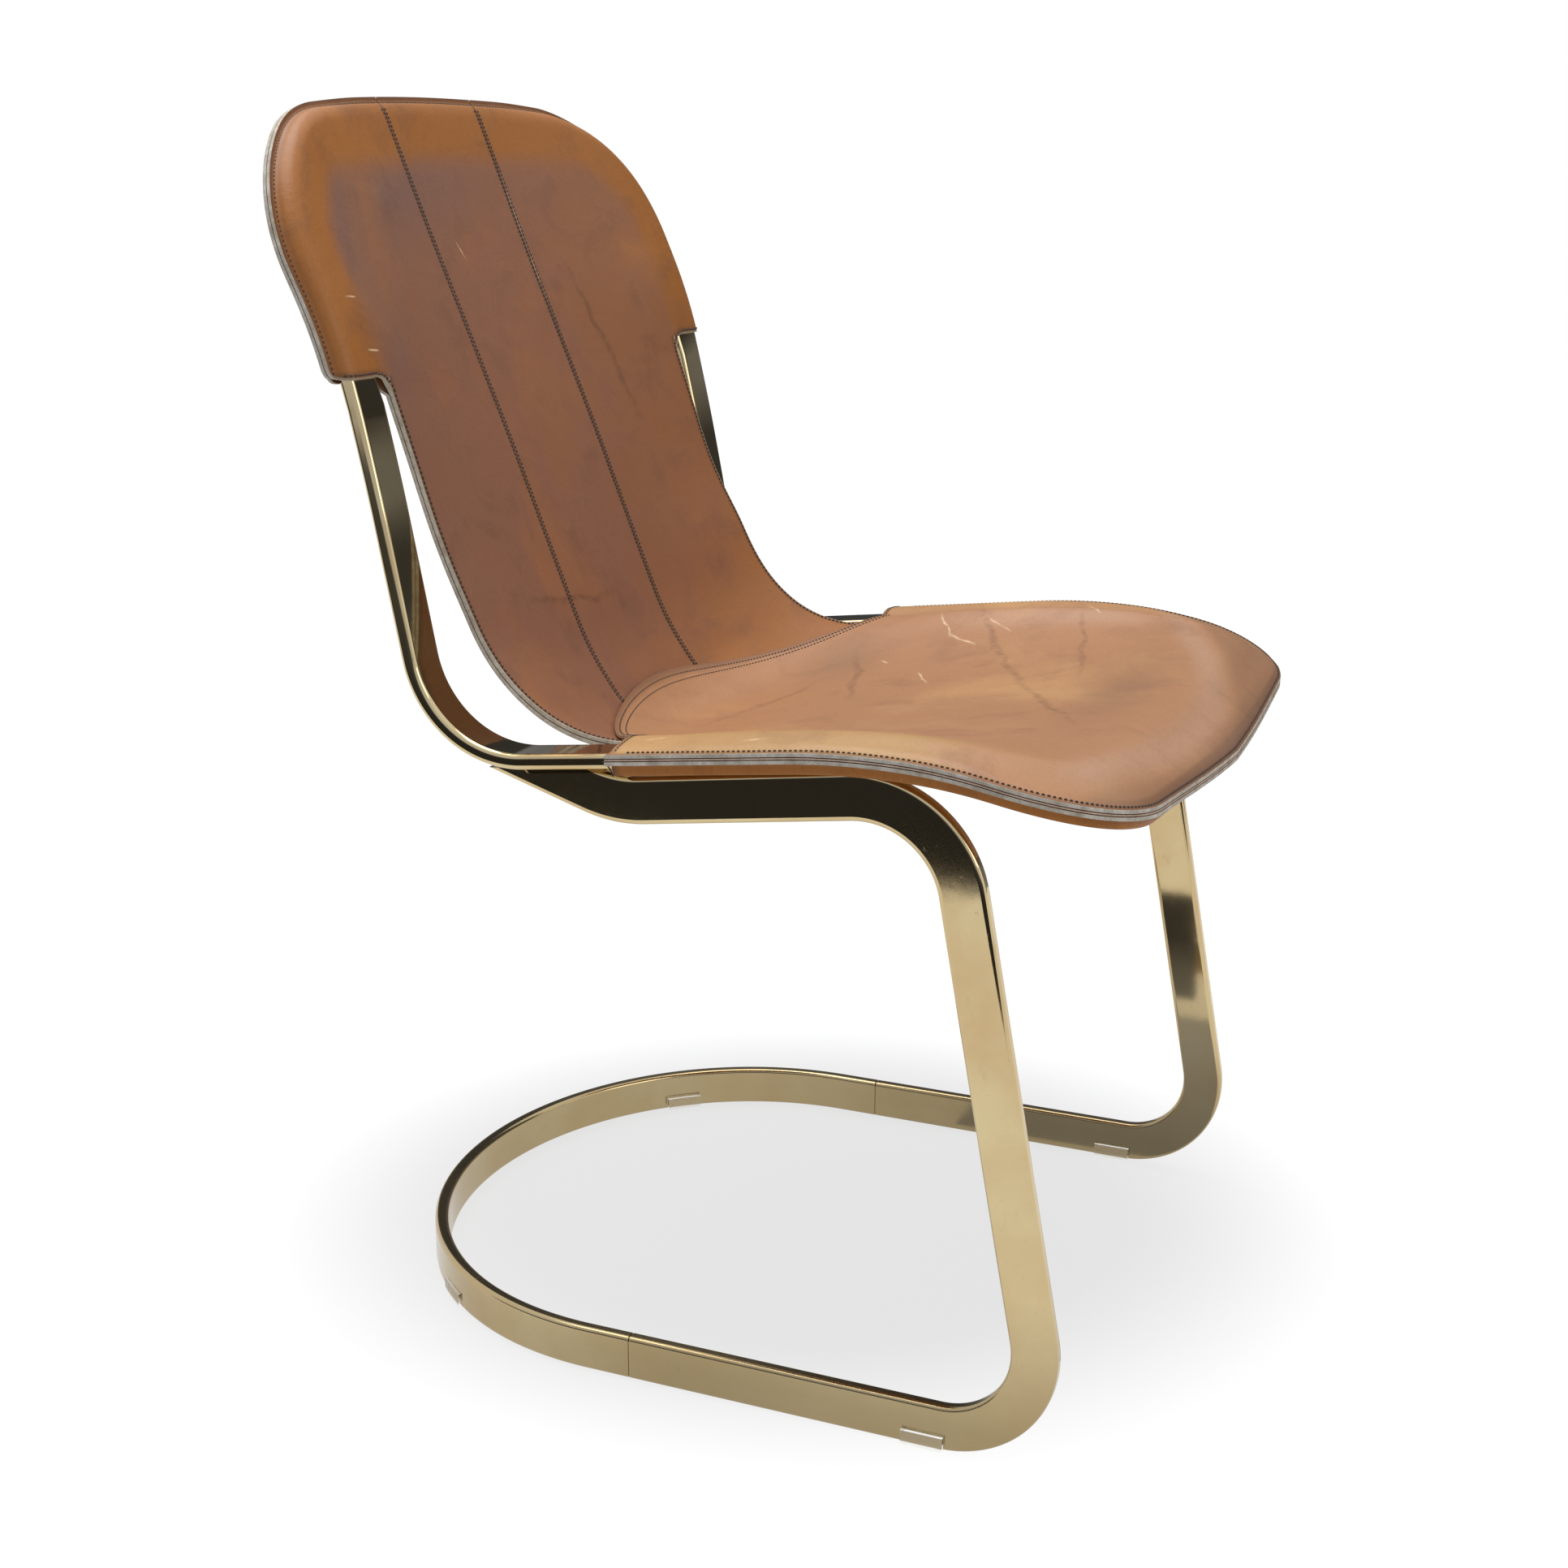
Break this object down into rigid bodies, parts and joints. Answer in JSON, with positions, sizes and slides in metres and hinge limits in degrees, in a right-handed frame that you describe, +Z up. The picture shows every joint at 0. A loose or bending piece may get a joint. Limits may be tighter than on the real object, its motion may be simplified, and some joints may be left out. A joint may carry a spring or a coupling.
{
  "type": "cantilever dining chair",
  "caption": "Side chair on a bent flat-tube cantilever frame, with a stitched saddle-leather sling back and a leather pocket seat.",
  "frame": {"origin": "middle of the base at floor level, below the centre of the chair's outline", "axes": "+Z up, +Y towards the back, -Y the way the sitter faces, +X towards the sitter's left"},
  "size_m": [0.5188, 0.597, 0.822],
  "materials": {
    "brass_plate": "polished plate over steel, lightly worn",
    "spigot_steel": "plain",
    "clear_glide": "translucent",
    "leather_back": "saddle leather, satin, worn",
    "leather_rear": "saddle leather, satin",
    "leather_seat": "saddle leather, satin, worn",
    "leather_lower": "saddle leather, satin",
    "leather_edge": "cut edge, dark"
  },
  "bodies": {
    "root": {"base_side_right": "brass_plate", "base_side_left": "brass_plate", "base_rear_arc": "brass_plate", "seat_loop": "brass_plate", "back_arch": "brass_plate", "weld_right": "brass_plate", "weld_left": "brass_plate", "base_spigot_right": "spigot_steel", "base_spigot_left": "spigot_steel", "ring_spigot_right": "spigot_steel", "ring_spigot_left": "spigot_steel", "glide_front_right": "clear_glide", "glide_front_left": "clear_glide", "glide_rear_right": "clear_glide", "glide_rear_left": "clear_glide", "sling_panel_middle": "leather_back", "sling_panel_right": "leather_back", "sling_panel_left": "leather_back", "sling_rear_layer": "leather_rear", "seat_top_panel": "leather_seat", "seat_lower_panel": "leather_lower", "seat_edge_welt": "leather_edge"}
  },
  "joints": []
}
